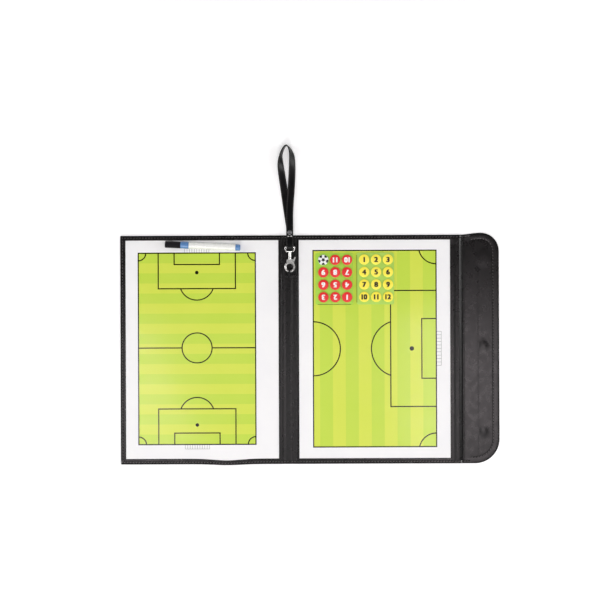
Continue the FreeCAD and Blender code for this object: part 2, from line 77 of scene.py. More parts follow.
# Leather of the folder
panel_corner = 1.4
flap_top_corner = 25.5
flap_low_corner = 34.0
top_border = 6.8
low_border = 7.8
left_outer_border = 7.5
left_fold_border = 5.65
right_fold_border = 1.95
right_flap_border = 16.55
windows = [
    (left_edge + left_outer_border, left_fold - left_fold_border),
    (right_fold + right_fold_border, flap_fold - right_flap_border),
]
window_low = low_border - half_height
window_top = half_height - top_border
fold_reach = 4.0
cuts = [left_edge] + [(before + after) / 2 for before, after in zip(folds, folds[1:])] + [right_edge]


# Materials


def linear(value):
    """One sRGB byte as linear light."""
    share = value / 255
    return share / 12.92 if share <= 0.04045 else ((share + 0.055) / 1.055) ** 2.4


def srgb(red, green, blue):
    """An sRGB colour as linear RGBA."""
    return (linear(red), linear(green), linear(blue), 1.0)


class Surface:
    """A principled material with short ways to add procedural detail."""

    def __init__(self, name, colour, roughness, **inputs):
        self.material = bpy.data.materials.new(name)
        self.material.use_nodes = True
        self.material.diffuse_color = colour
        self.tree = self.material.node_tree
        self.shader = self.tree.nodes["Principled BSDF"]
        self.colour = colour
        self.roughness = roughness
        self.put(self.shader, Base_Color=colour, Roughness=roughness, **inputs)
        self.place = self.node("ShaderNodeTexCoord").outputs["Object"]

    def put(self, node, **inputs):
        """Sets sockets of a node to values, or links them to other sockets."""
        for name, value in inputs.items():
            socket = node.inputs[name.replace("_", " ")]
            if isinstance(value, bpy.types.NodeSocket):
                self.tree.links.new(value, socket)
            else:
                socket.default_value = value

    def node(self, kind, settings=None, **inputs):
        """A new node with its settings and its sockets."""
        made = self.tree.nodes.new(kind)
        for key, value in (settings or {}).items():
            setattr(made, key, value)
        self.put(made, **inputs)
        return made

    def worked(self, operation, first, second):
        """Two values worked into one."""
        made = self.node("ShaderNodeMath", {"operation": operation})
        for socket, value in zip(made.inputs, (first, second)):
            self.tree.links.new(value, socket)
        return made.outputs[0]

    def noise(self, size, detail, stretch=None):
        """Soft noise with patches of about this size in millimetres, drawn out where it is stretched."""
        place = self.place
        if stretch:
            place = self.node("ShaderNodeMapping", Scale=stretch, Vector=place).outputs["Vector"]
        made = self.node("ShaderNodeTexNoise", Scale=1 / (size * MM), Detail=detail, Vector=place)
        return made.outputs["Fac"]

    def cells(self, size):
        """Pebbled cells of this size in millimetres."""
        rounded = {"feature": "SMOOTH_F1"}
        made = self.node("ShaderNodeTexVoronoi", rounded, Scale=1 / (size * MM), Vector=self.place)
        return made.outputs["Distance"]

    def spread(self, value, low, high, start=0.3, end=0.7):
        """A value turned into a range."""
        ends = {"From_Min": start, "From_Max": end, "To_Min": low, "To_Max": high}
        return self.node("ShaderNodeMapRange", Value=value, **ends).outputs["Result"]

    def mottle(self, value, other, start=0.35, end=0.65):
        """Mixes towards another colour where the value is high."""
        factor = self.spread(value, 0.0, 1.0, start, end)
        mix = self.node("ShaderNodeMix", {"data_type": "RGBA"}, A=self.colour, B=other, Factor=factor)
        self.put(self.shader, Base_Color=mix.outputs["Result"])

    def gloss(self, value, by):
        """Lets the roughness vary."""
        self.put(self.shader, Roughness=self.spread(value, self.roughness - by, self.roughness + by))

    def bump(self, value, height, strength):
        """Raises the value as relief of this height in millimetres, on top of any relief there is."""
        made = self.node("ShaderNodeBump", Strength=strength, Distance=height * MM, Height=value)
        socket = self.shader.inputs["Normal"]
        if socket.is_linked:
            self.put(made, Normal=socket.links[0].from_socket)
        self.put(self.shader, Normal=made.outputs["Normal"])


def leather(name, colour, worn, roughness, pebble, shine):
    """Grained leather with soft wrinkles and a slightly uneven colour."""
    made = Surface(name, srgb(*colour), roughness, Specular_IOR_Level=shine)
    made.mottle(made.noise(size=34.0, detail=5.0), srgb(*worn))
    made.gloss(made.noise(size=9.0, detail=4.0), by=0.04)
    made.bump(made.noise(size=7.0, detail=4.0), height=0.2, strength=0.2)
    made.bump(made.cells(pebble), height=0.06, strength=0.4)
    return made.material


def plastic(name, colour, other, roughness):
    """Moulded plastic with a faint mottle, uneven gloss and a fine skin."""
    made = Surface(name, srgb(*colour), roughness)
    made.mottle(made.noise(size=26.0, detail=4.0), srgb(*other))
    made.gloss(made.noise(size=6.0, detail=3.0), by=0.05)
    made.bump(made.noise(size=0.9, detail=2.0), height=0.015, strength=0.3)
    return made.material


def printed(name, colour, other, roughness):
    """Ink under a wipe-clean film, with faint streaks of wiping."""
    made = Surface(name, srgb(*colour), roughness, Specular_IOR_Level=0.3)
    made.mottle(made.noise(size=48.0, detail=4.0), srgb(*other), start=0.3, end=0.75)
    made.gloss(made.noise(size=14.0, detail=5.0, stretch=(0.25, 1.0, 1.0)), by=0.05)
    made.bump(made.noise(size=60.0, detail=2.0), height=0.25, strength=0.12)
    return made.material


dull_share = 0.86


def metal(name, colour, roughness):
    """Plated metal with fine drawn scratches."""
    made = Surface(name, srgb(*colour), roughness, Metallic=1.0)
    dull = tuple(dull_share * light for light in made.colour[:3]) + (1.0,)
    made.mottle(made.noise(size=3.0, detail=4.0), dull)
    made.gloss(made.noise(size=1.2, detail=3.0), by=0.06)
    made.bump(made.noise(size=0.5, detail=2.0, stretch=(1.0, 0.12, 1.0)), height=0.01, strength=0.25)
    return made.material


def felt(name, colour, other):
    """Pressed felt with fibres."""
    made = Surface(name, srgb(*colour), roughness=0.9, Specular_IOR_Level=0.2, Sheen_Weight=0.1)
    made.mottle(made.noise(size=0.8, detail=5.0), srgb(*other))
    made.bump(made.noise(size=0.45, detail=4.0), height=0.12, strength=0.8)
    return made.material


# Two sRGB colours that a surface wavers between, its roughness, and a leather's grain size and shine
black_leather = leather("black_leather", (9, 8, 8), (15, 13, 13), 0.29, 0.9, 0.36)
# Dark matte edge paint on the leather's cut edges, made darker still as painted shade on the rolled rims
edge_paint_and_shade = leather("edge_paint_and_shade", (5, 4, 4), (8, 7, 7), 0.6, 0.9, 0.15)
strap_leather = leather("strap_leather", (5, 5, 6), (10, 10, 11), 0.34, 0.7, 0.26)
thread = leather("thread", (74, 70, 70), (90, 86, 86), 0.5, 0.3, 0.6)
board_white = printed("board_white", (240, 240, 241), (245, 245, 244), 0.45)
grass_dark = printed("grass_dark", (192, 218, 76), (196, 219, 80), 0.17)
grass_light = printed("grass_light", (209, 223, 82), (212, 224, 86), 0.17)
pitch_line = printed("pitch_line", (12, 16, 3), (18, 23, 6), 0.17)
net_grey = printed("net_grey", (162, 166, 162), (174, 177, 174), 0.45)
clasp_metal = metal("clasp_metal", (232, 230, 228), 0.15)
rivet_metal = metal("rivet_metal", (118, 118, 120), 0.3)
magnet_metal = metal("magnet_metal", (140, 140, 144), 0.4)
sheet_metal = metal("sheet_metal", (176, 178, 182), 0.38)
pen_white = plastic("pen_white", (237, 238, 233), (242, 243, 239), 0.28)
pen_blue = plastic("pen_blue", (88, 132, 184), (98, 142, 194), 0.25)
pen_felt = felt("pen_felt", (14, 13, 17), (22, 20, 24))
sheet_green = plastic("sheet_green", (164, 214, 66), (172, 219, 76), 0.5)
sheet_lime = plastic("sheet_lime", (172, 213, 90), (180, 218, 98), 0.5)
# Painted shadow: a dark olive stripe that stands for the shade along a token sheet's edge
painted_sheet_shadow = plastic("painted_sheet_shadow", (104, 130, 26), (112, 138, 32), 0.5)
token_red = plastic("token_red", (226, 36, 36), (232, 48, 44), 0.42)
token_yellow = plastic("token_yellow", (250, 234, 70), (252, 238, 86), 0.42)
token_white = plastic("token_white", (238, 240, 238), (244, 245, 243), 0.42)
ink_white = plastic("ink_white", (243, 240, 238), (247, 246, 244), 0.45)
ink_black = plastic("ink_black", (13, 13, 13), (20, 20, 20), 0.45)
ink_brown = plastic("ink_brown", (26, 21, 5), (34, 28, 8), 0.45)
card = plastic("card", (192, 182, 160), (178, 166, 142), 0.85)


# Mesh building

# Angles in degrees up to which a surface is smooth
plain_sharp = 40.0
leather_sharp = 50.0
thread_sharp = 80.0
pen_sharp = 32.0
kept_sharp = 35.0


def placed(name, data):
    """A new object in the scene."""
    made = bpy.data.objects.new(name, data)
    bpy.context.scene.collection.objects.link(made)
    return made


class Shape:
    """Vertices in millimetres and faces with a material number, gathered from parts."""

    def __init__(self):
        self.vertices = []
        self.faces = []
        self.numbers = []

    def add(self, part, number=0):
        vertices, faces = part
        first = len(self.vertices)
        self.vertices += [Vector(v) for v in vertices]
        self.faces += [[first + index for index in face] for face in faces]
        self.numbers += [number] * len(faces)
        return self

    def build(self, name, materials, sharp=plain_sharp):
        """The shape as an object, smooth up to an angle in degrees."""
        mesh = bpy.data.meshes.new(name)
        mesh.from_pydata([v * MM for v in self.vertices], [], self.faces)
        mesh.polygons.foreach_set("material_index", self.numbers)
        cleaned = bmesh.new()
        cleaned.from_mesh(mesh)
        bmesh.ops.recalc_face_normals(cleaned, faces=cleaned.faces[:])
        cleaned.to_mesh(mesh)
        cleaned.free()
        mesh.shade_smooth()
        mesh.set_sharp_from_angle(angle=math.radians(sharp))
        for material in materials:
            mesh.materials.append(material)
        return placed(name, mesh)


def loft(rings, caps=True):
    """Faces between closed rings of equally many points."""
    count = len(rings[0])
    vertices = [point for ring in rings for point in ring]
    faces = []
    for row in range(len(rings) - 1):
        for step in range(count):
            a = row * count + step
            b = row * count + (step + 1) % count
            faces.append([a, b, b + count, a + count])
    if caps:
        faces.append(list(range(count))[::-1])
        faces.append([len(vertices) - count + step for step in range(count)])
    return vertices, faces


def lathe(profile, place, sides):
    """A turned form about the X axis of a placing matrix, from points of distance along it and radius."""
    turns = [2 * math.pi * step / sides for step in range(sides)]
    rings = []
    for along, radius in profile:
        rings.append([place @ Vector((along, radius * math.cos(t), radius * math.sin(t))) for t in turns])
    return loft(rings)


def slab(outline, low_z, high_z):
    """A flat plate over a polygon."""
    return loft([[(x, y, z) for x, y in outline] for z in (low_z, high_z)])


def polar(radius, degrees):
    """A point of the plane by its distance from the middle and its angle."""
    angle = math.radians(degrees)
    return radius * math.cos(angle), radius * math.sin(angle)


def arc(x, y, radius, start, end, steps):
    """Points on a circle between two angles in degrees."""
    points = [polar(radius, start + (end - start) * step / steps) for step in range(steps + 1)]
    return [(x + right, y + up) for right, up in points]


least_mitre_share = 0.5


def stripe(points, width, low_z, high_z, closed=False):
    """A flat line of this width along points of a plane, mitred at its corners."""
    points = [Vector(p) for p in points]
    count = len(points)
    rings = []
    for index, point in enumerate(points):
        before = points[index - 1] if index or closed else point
        after = points[(index + 1) % count] if index < count - 1 or closed else point
        come = (point - before).normalized() if before != point else (after - point).normalized()
        go = (after - point).normalized() if after != point else come
        side = Vector((-come.y - go.y, come.x + go.x)).normalized()
        reach = width / 2 / max(side.dot(Vector((-come.y, come.x))), least_mitre_share)
        left = point + side * reach
        right = point - side * reach
        rings.append([(*left, low_z), (*right, low_z), (*right, high_z), (*left, high_z)])
    if closed:
        rings.append(rings[0])
    return loft(rings, caps=not closed)


def bell(distance, width):
    """A soft hill from 1 in its middle to 0 far off."""
    return math.exp(-(distance / width) ** 2)


def smooth(value):
    """An eased step from 0 to 1."""
    value = min(max(value, 0.0), 1.0)
    return value * value * (3 - 2 * value)


def ways(points):
    """Directions along a line of points, each from the point before to the point after."""
    before = [points[0]] + points
    after = points[1:] + [points[-1]]
    return [(ahead - back).normalized() for back, ahead in zip(before, after)]


def band(frames, section):
    """A band along frames of middle, way, width and face direction, with points of a section across it."""
    return loft([[middle + wide * x + face * y for x, y in section] for middle, way, wide, face in frames])


def upright_frames(points):
    """Frames of a band that stays square to the X axis."""
    return [(point, way, X_AXIS, way.cross(X_AXIS)) for point, way in zip(points, ways(points))]


def read_curve(curve):
    """Vertices and faces of a curve, which is then taken away."""
    holder = placed(curve.name, curve)
    bpy.context.view_layer.update()
    mesh = bpy.data.meshes.new_from_object(holder.evaluated_get(bpy.context.evaluated_depsgraph_get()))
    vertices = [v.co.copy() for v in mesh.vertices]
    faces = [list(p.vertices) for p in mesh.polygons]
    bpy.data.objects.remove(holder)
    bpy.data.meshes.remove(mesh)
    bpy.data.curves.remove(curve)
    return vertices, faces


# One stitch: stations along it as shares of its half length, with the share of its radius there
stitch_shares = [(-1.0, 0.3), (-0.8, 0.75), (-0.4, 1.0), (0.0, 1.0), (0.4, 1.0), (0.8, 0.75), (1.0, 0.3)]
stitch_sides = 6
stitch_sink_share = 0.8


def stitch(centre, along, normal, length, radius):
    """A short bow of thread whose ends dive into the leather."""
    across = along.cross(normal)
    section = [polar(radius, 360 * step / stitch_sides) for step in range(stitch_sides)]
    rings = []
    for share, fat in stitch_shares:
        middle = centre + along * (share * length / 2) - normal * (stitch_sink_share * radius * share * share)
        rings.append([middle + (across * x + normal * y) * fat for x, y in section])
    return loft(rings)


def walk(points, pitch):
    """Places at an even pitch along a line of points, with the way at each."""
    places = []
    left = pitch / 2
    for start, end in zip(points, points[1:]):
        step = end - start
        length = step.length
        if length == 0:
            continue
        while left <= length:
            places.append((start + step * (left / length), step / length))
            left += pitch
        left -= length
    return places


# Leather of the folder as one surface over the plane, cut into four pieces between its folds


def edge_distance(x, y):
    """How far a point lies inside the folder's outline."""
    radius = panel_corner
    if x > 0:
        radius = flap_top_corner if y > 0 else flap_low_corner
    from_side = min(x - left_edge, right_edge - x)
    from_end = half_height - abs(y)
    if from_side < radius and from_end < radius:
        return radius - math.hypot(radius - from_side, radius - from_end)
    return min(from_side, from_end)


def window_distance(x, y):
    """How far a point lies outside the nearer board's window, below zero inside one."""
    distances = []
    for x_from, x_to in windows:
        beside = max(x_from - x, x - x_to)
        beyond = max(window_low - y, y - window_top)
        outside = math.hypot(max(beside, 0.0), max(beyond, 0.0))
        distances.append(outside or max(beside, beyond))
    return min(distances)


# The leather across the folder: the place that a row starts from, then the way beyond that place,
# the level that the height starts from and the rise over that level
across_rows = [
    (left_edge, [(0.0, border_z, 0.0)]),
    (left_fold, [
        (-2.4, border_z, 0.0), (-1.2, border_z, -0.3), (-0.3, soft_z, -0.35), (1.0, soft_z, 0.2),
        (5.0, soft_z, -0.14), (11.0, soft_z, -0.02), (12.2, soft_z, 0.16), (13.2, soft_z, -0.45),
        (14.6, soft_z, 0.12),
    ]),
    (right_fold, [
        (-2.4, soft_z, 0.22), (-0.3, soft_z, -0.45), (0.9, border_z, -0.15), (4.0, border_z, 0.0),
    ]),
    (flap_fold, [
        (-right_flap_border, border_z, -0.1), (-12.5, border_z, -0.3), (-7.5, border_z, 0.35),
        (-4.6, border_z, 0.6), (-1.15, board_z, 0.16), (0.5, soft_z, -0.7), (1.8, soft_z, 0.2),
        (4.0, soft_z, 0.0),
    ]),
    (flap_bend, [(-1.6, soft_z, 0.0), (0.0, soft_z, -0.12), (1.6, soft_z, 0.0)]),
    (right_edge, [(0.0, soft_z, 0.0)]),
]
across_heights = [(place + way, level + rise) for place, row in across_rows for way, level, rise in row]

# Relief of the leather: its padded borders, the flap's hem, rolled rims, grooves, waves and seams
pillow = 0.35
top_lean = 0.5
hem_rise = 0.1
hem_width = 6.6
hem_fall = 1.4
rim_share = 0.42
rim_width = 1.6
window_rim = 0.4
under_rim = 0.8
# Width along the outline of the edge paint, which also paints the rim's shade
edge_paint_and_shade_width = 1.7
under_groove = 0.3
under_groove_width = 0.9
wave_height = 0.1
wave_size = 26.0
panel_seam = 3.2
flap_seam = 8.4
seam_depth = 0.22
seam_width = 0.6

magnet_low, magnet_high = box_mm("flap_magnets")
magnet_x = (magnet_low.x + magnet_high.x) / 2
magnet_end = (magnet_high.x - magnet_low.x) / 2
magnet_rows = [magnet_low.y + magnet_end, (magnet_low.y + magnet_high.y) / 2, magnet_high.y - magnet_end]

# Rise, flat middle and reach of the leather over each magnet
bumps = [(0.8, 0.0, 8.0), (0.8, 0.0, 8.0), (0.24, 6.2, 12.0)]

# The lower border sags a little at one place: where, how far at its outer and inner edge, and how wide
sag_x = -116.0
sag_outer = 1.4
sag_inner = 2.5
sag_width = 26.0
sag_reach = 14.0

# The top of the flap lies a little stretched: how far, and from where across and up the folder
stretch = 2.6
stretch_before = 4.0
stretch_past = 3.0
stretch_from_x = flap_fold - stretch_before
stretch_to_x = flap_bend + stretch_past
stretch_from_y = 40.0


def rim_drop(distance, width, depth):
    """How far a rounded edge of this width and depth has dropped at a distance from it."""
    inward = 1 - distance / width
    if inward <= 0:
        return 0.0
    return depth * (1 - math.sqrt(max(1 - inward * inward, 0.0)))


def laid(x, y):
    """Where a point of the even outline has come to lie."""
    depth = half_height + y
    share = min(depth / low_border, 1.0)
    sag = (sag_outer + (sag_inner - sag_outer) * share) * smooth(1 + (low_border - depth) / sag_reach)
    across = smooth((x - stretch_from_x) / (stretch_to_x - stretch_from_x))
    up = smooth((y - stretch_from_y) / (half_height - stretch_from_y))
    return x, y - sag * bell(x - sag_x, sag_width) + stretch * across * up


def seam_inset(x):
    """How far from the outline the seam runs."""
    return flap_seam if x > cuts[3] else panel_seam


def across_height(x):
    """Height of the leather by its place across the folder."""
    for (x_from, z_from), (x_to, z_to) in zip(across_heights, across_heights[1:]):
        if x <= x_to:
            return z_from + (z_to - z_from) * smooth((x - x_from) / (x_to - x_from))
    return across_heights[-1][1]


def leather_top(x, y):
    """Height of the inside of the leather."""
    edge = edge_distance(x, y)
    window = max(window_distance(x, y), 0.0)
    height = across_height(x)
    panel = smooth((height - soft_z) / (border_z - soft_z))
    if edge < low_border:
        share = edge / (edge + window + window_rim)
        height -= panel * pillow * (2 * share - 1) ** 2
        inward = (half_height - y) / top_border
        height += panel * top_lean * smooth(inward) * smooth(2 - inward)
        height += (1 - panel) * hem_rise * smooth((hem_width - edge) / hem_fall)
    height += wave_height * noise.noise(Vector((x, y, 0)) / wave_size)
    for row, (rise, flat, reach) in zip(magnet_rows, bumps):
        share = max(math.hypot(x - magnet_x, y - row) - flat, 0.0) / (reach - flat)
        if share < 1:
            height += rise * (1 - share * share) ** 2
    height -= seam_depth * bell(edge - seam_inset(x), seam_width)
    height -= rim_drop(window, window_rim, window_rim)
    return height - rim_drop(edge, rim_width, rim_share * height)


def leather_bottom(x, y):
    """Height of the outside of the leather, which lies on the table."""
    edge = edge_distance(x, y)
    height = rim_drop(edge, under_rim, under_rim) + seam_depth * bell(edge - seam_inset(x), seam_width)
    return height + sum(under_groove * bell(x - fold, under_groove_width) for fold in folds)


def stations(stops):
    """Numbers from stop to stop, with the step that each stretch gives."""
    made = []
    for (start, step), (end, _) in zip(stops, stops[1:]):
        count = max(round((end - start) / step), 1)
        made += [start + (end - start) * index / count for index in range(count)]
    return made + [stops[-1][0]]


# Columns of the mesh: the place that a stretch starts from, the way beyond it, and the step within it
panel_step = 5.0
fold_step = 0.5
flap_step = 2.4
x_stations = stations([(place + way, step) for place, way, step in (
    (left_edge, panel_corner, panel_step),
    (left_fold, -6.0, fold_step),
    (cuts[1], 0.0, fold_step),
    (right_fold, 3.0, panel_step),
    (cuts[2], 0.0, panel_step),
    (flap_fold - right_flap_border, -1.0, 0.6),
    (flap_fold, fold_reach, flap_step),
    (cuts[3], 0.0, flap_step),
    (flap_bend, -2.0, 0.8),
    (flap_bend, 2.0, flap_step),
    (right_edge, -flap_top_corner, 0),
)])
row_step = 4.5
y_stations = stations([(window_low, row_step), (0.0, row_step), (window_top, 0)])

# Insets of the rings of points along the rims, and how far other points stay clear of them
corner_steps = 14
rim_steps = [0.0, 0.1, 0.3, 0.65, 1.1, 1.7, 2.4, 2.8, 3.2, 3.6, 4.0, 4.8, 5.6, 6.3]
flap_steps = [0.0, 0.08, 0.22, 0.45, 0.8, 1.6, 2.8, 4.2, 5.6, 6.6, 7.4, 7.9, 8.4, 8.9, 9.4, 10.2]
window_steps = [0.0, 0.1, 0.25, 0.45, 0.9]
window_clear = 0.2
edge_clear = 0.4
inner_gap = 1.2
pocket_grid = 24.0
same_digits = 4
merge_distance = 1e-5


def ring_round(left, right, low, top, left_radius, low_radius, top_radius):
    """An oblong with round corners, once round from its lower left, as corners and stations."""
    left_x = left + left_radius
    low_x = right - low_radius
    top_x = right - top_radius
    ring = arc(left_x, low + left_radius, left_radius, 180, 270, corner_steps)
    ring += [(x, low) for x in x_stations if left_x < x < low_x]
    ring += arc(low_x, low + low_radius, low_radius, 270, 360, corner_steps)
    ring += [(right, y) for y in y_stations if low + low_radius < y < top - top_radius]
    ring += arc(top_x, top - top_radius, top_radius, 0, 90, corner_steps)
    ring += [(x, top) for x in reversed(x_stations) if left_x < x < top_x]
    ring += arc(left_x, top - left_radius, left_radius, 90, 180, corner_steps)
    ring += [(left, y) for y in reversed(y_stations) if low + left_radius < y < top - left_radius]
    return ring


def outline_ring(inset):
    """The folder's outline moved inwards."""
    radii = [max(radius - inset, 0.0) for radius in (panel_corner, flap_low_corner, flap_top_corner)]
    top = half_height - inset
    return ring_round(left_edge + inset, right_edge - inset, -top, top, *radii)


def window_ring(x_from, x_to, outset):
    """The rim of a board's window moved outwards."""
    return ring_round(x_from - outset, x_to + outset, window_low - outset, window_top + outset, 0.0, 0.0, 0.0)


def flat_mesh(x_from, x_to):
    """Points and faces of the folder's plane between two cuts, close together at its rims and folds."""
    points = []
    numbers = {}
    lines = []

    def number(x, y):
        key = (round(x, same_digits), round(y, same_digits))
        if key not in numbers:
            numbers[key] = len(points)
            points.append(Vector((x, y)))
        return numbers[key]

    def join(row):
        for start, end in zip(row, row[1:]):
            if start != end and x_from <= min(start[0], end[0]) and max(start[0], end[0]) <= x_to:
                lines.append((number(*start), number(*end)))

    def scatter(spots, from_window, from_edge):
        for x, y in spots:
            if x_from < x < x_to and window_distance(x, y) > from_window and edge_distance(x, y) > from_edge:
                number(x, y)

    steps = flap_steps if x_to > flap_bend else rim_steps
    for ring in [outline_ring(0.0)] + [window_ring(*window, 0.0) for window in windows]:
        join(ring + ring[:1])
    cut_rows = {side * (half_height - step) for step in steps for side in (-1, 1)} | set(y_stations)
    cut_rows |= {window_low - step for step in window_steps} | {window_top + step for step in window_steps}
    for cut in (x_from, x_to):
        if left_edge < cut < right_edge:
            join([(cut, y) for y in sorted(cut_rows)])
    for step in steps[1:]:
        scatter(outline_ring(step), window_steps[-1] + window_clear, 0.0)
    for window in windows:
        for step in window_steps[1:]:
            scatter(window_ring(*window, step), 0.0, edge_clear)
    flap_columns = stations([(right_edge - flap_top_corner, flap_step), (right_edge - flap_seam, 0)])
    grid = [(x, y) for x in x_stations + flap_columns for y in y_stations]
    scatter(grid, window_steps[-1] + inner_gap / 2, steps[-1] + inner_gap)
    for x_left, x_right in windows:
        for column in range(1, int((x_right - x_left) / pocket_grid)):
            x = x_left + column * pocket_grid
            if x_from + inner_gap < x < x_to - inner_gap:
                for row in range(int(window_low / pocket_grid) + 1, int(window_top / pocket_grid)):
                    number(x, row * pocket_grid)
    made = delaunay_2d_cdt(points, lines, [], 0, merge_distance)
    return made[0], made[2]


def leather_piece(name, x_from, x_to):
    """One piece of the folder's leather between two cuts, as a closed shell with a pocket for its board."""
    flat, faces = flat_mesh(x_from, x_to)
    heights = {"top": leather_top, "under": leather_bottom, "pocket": lambda x, y: pocket_z}
    shape = Shape()
    places = {}
    sides = {}

    def vertex(index, level):
        key = (index, level)
        if key not in places:
            x, y = flat[index]
            places[key] = len(shape.vertices)
            shape.vertices.append(Vector((*laid(x, y), heights[level](x, y))))
        return places[key]

    for face in faces:
        middle = sum((flat[index] for index in face), Vector((0, 0))) / len(face)
        edge = edge_distance(*middle)
        if edge <= 0 or not x_from < middle.x < x_to:
            continue
        level = "pocket" if window_distance(*middle) < 0 else "top"
        shape.faces.append([vertex(index, level) for index in face])
        shape.faces.append([vertex(index, "under") for index in reversed(face)])
        # Faces near the outline take the edge paint and painted shade
        shape.numbers += [int(edge < edge_paint_and_shade_width)] * 2
        for start, end in zip(face, face[1:] + face[:1]):
            sides.setdefault(frozenset((start, end)), []).append((start, end, level))
    for uses in sides.values():
        start, end, level = uses[0]
        if len(uses) == 1:
            low = "under"
        elif uses[0][2] != uses[1][2]:
            level, low = "top", "pocket"
        else:
            continue
        shape.faces.append([vertex(start, level), vertex(start, low), vertex(end, low), vertex(end, level)])
        # Outer walls take the edge paint and painted shade as well
        shape.numbers.append(int(len(uses) == 1))
    return shape.build(name, [black_leather, edge_paint_and_shade], leather_sharp)


stitch_pitch = 4.15
stitch_length = 2.7
stitch_radius = 0.42
stitch_slant = 14.0
stitch_proud_share = 1 / 3


def seam(name, x_from, x_to, inset):
    """Stitches on both faces of the leather along the seam of a piece."""
    runs = [[]]
    ring = outline_ring(inset)
    for x, y in ring + ring[:1]:
        if x_from <= x <= x_to:
            runs[-1].append(Vector((x, y)))
        elif runs[-1]:
            runs.append([])
    shape = Shape()
    slant = Matrix.Rotation(math.radians(stitch_slant), 3, "Z")
    for run in runs:
        for place, way in walk(run, stitch_pitch):
            along = slant @ Vector((*way, 0))
            top = leather_top(*place) + stitch_radius * stitch_proud_share
            low = max(leather_bottom(*place), stitch_radius)
            for z, normal in ((top, Z_AXIS), (low, -Z_AXIS)):
                shape.add(stitch(Vector((*laid(*place), z)), along, normal, stitch_length, stitch_radius))
    return shape.build(name, [thread], thread_sharp)


# Pieces of the leather: name, bodies beside the fold, where the bend starts and ends, and the nodes replaced
leather_pieces = [
    ("left_leather", "spine", "left_panel", left_fold + fold_reach, left_fold,
     ("left_cover", "left_border", "spine_cover", "spine_lining")),
    ("right_leather", "right_panel", "spine", right_fold, right_fold - fold_reach,
     ("right_cover", "right_border")),
    ("gusset_leather", "right_panel", "gusset", flap_fold, flap_fold + fold_reach,
     ("gusset_cover", "gusset_lining")),
    ("flap_leather", "gusset", "flap", flap_bend - fold_reach, flap_bend, ("flap_cover", "flap_lining")),
]
for (name, body_a, body_b, start, end, replaced), x_from, x_to in zip(leather_pieces, cuts, cuts[1:]):
    piece = leather_piece(name, x_from, x_to)
    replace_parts(piece, *replaced)
    stitches = seam(name + "_seam", x_from, x_to, seam_inset(x_to))
    for made in (piece, stitches):
        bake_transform(made)


# Printed pitches

line_width = 1.65
ink_height = 0.03
line_height = 0.05
print_materials = [grass_dark, grass_light, pitch_line, net_grey]
LINE, NET = 2, 3

# Sizes of a goal's end of the pitch: depths from the goal line and half widths,
# and for a corner its radius and how far outside the pitch its middle lies
left_end = {
    "half_width": 81.9, "area": (49.8, 54.0), "goal": (16.0, 31.7), "spot": 27.3, "spot_radius": 2.5,
    "arc_radius": 24.2, "arc_depth": 16.0, "corner": (10.6, 0.0), "net": (6.3, 17.0),
}
right_end = {
    "half_width": 137.4, "area": (63.8, 81.2), "goal": (20.2, 41.7), "spot": 34.2, "spot_radius": 3.1,
    "arc_radius": 39.5, "arc_depth": 26.9, "corner": (24.4, 5.4), "net": (7.0, 23.8),
}
left_pitch_middle = (-157.8, 1.7)
left_pitch_half = 133.9
left_halfway = 2.9
left_circle = 21.0
left_bands = 19
right_pitch_middle = (90.9, 1.0)
right_pitch_half = 86.0
right_circle = 37.8
right_first_band = 9.1
right_band = 18.06
net_bars = 11
net_width = 0.6
spot_steps = 32
area_arc_steps = 40
corner_arc_steps = 16
circle_steps = 72
half_circle_steps = 48


def ink(shape, points, closed=False, width=line_width, number=LINE, height=line_height):
    """A printed line on a board."""
    shape.add(stripe(points, width, board_z, board_z + height, closed), number)


def goal_end(shape, place, sizes):
    """The lines at one goal, drawn by depth from the goal line and place across."""
    for key in ("area", "goal"):
        depth, half = sizes[key]
        ink(shape, [place(0, -half), place(depth, -half), place(depth, half), place(0, half)])
    spot = [place(x, y) for x, y in arc(sizes["spot"], 0, sizes["spot_radius"], 0, 360, spot_steps)[:-1]]
    shape.add(slab(spot, board_z, board_z + line_height), LINE)
    radius = sizes["arc_radius"]
    depth = sizes["area"][0]
    reach = math.degrees(math.acos((radius - sizes["arc_depth"]) / radius))
    middle = depth + sizes["arc_depth"] - radius
    ink(shape, [place(x, y) for x, y in arc(middle, 0, radius, -reach, reach, area_arc_steps)])
    radius, outside = sizes["corner"]
    start = math.degrees(math.asin(outside / radius))
    for side in (-1, 1):
        middle = side * (sizes["half_width"] + outside)
        bend = arc(0, middle, radius, -side * start, -side * 90, corner_arc_steps)
        ink(shape, [place(x, y) for x, y in bend])
    back, half = sizes["net"]
    bars = [half * (2 * bar / (net_bars - 1) - 1) for bar in range(net_bars)]
    for start, end in [((-back, -half), (-back, half))] + [((-back, y), (0, y)) for y in bars]:
        ink(shape, [place(*start), place(*end)], False, net_width, NET, ink_height)


def oblong(x_from, x_to, y_from, y_to):
    """Corners of a rectangle."""
    return [(x_from, y_from), (x_to, y_from), (x_to, y_to), (x_from, y_to)]


def left_print():
    """A whole pitch with a goal at the top and at the bottom."""
    shape = Shape()
    x, y = left_pitch_middle
    half = left_end["half_width"]
    for band in range(left_bands):
        low = y - left_pitch_half + 2 * left_pitch_half * band / left_bands
        high = low + 2 * left_pitch_half / left_bands
        shape.add(slab(oblong(x - half, x + half, low, high), board_z, board_z + ink_height), band % 2)
    ink(shape, oblong(x - half, x + half, y - left_pitch_half, y + left_pitch_half), True)
    for side in (-1, 1):
        ink(shape, [(x + side * left_circle, left_halfway), (x + side * half, left_halfway)])
    ink(shape, arc(x, left_halfway, left_circle, 0, 360, circle_steps)[:-1], True)
    goal_end(shape, lambda depth, across: (x + across, y + left_pitch_half - depth), left_end)
    goal_end(shape, lambda depth, across: (x - across, y - left_pitch_half + depth), left_end)
    return shape.build("left_pitch_print", print_materials)


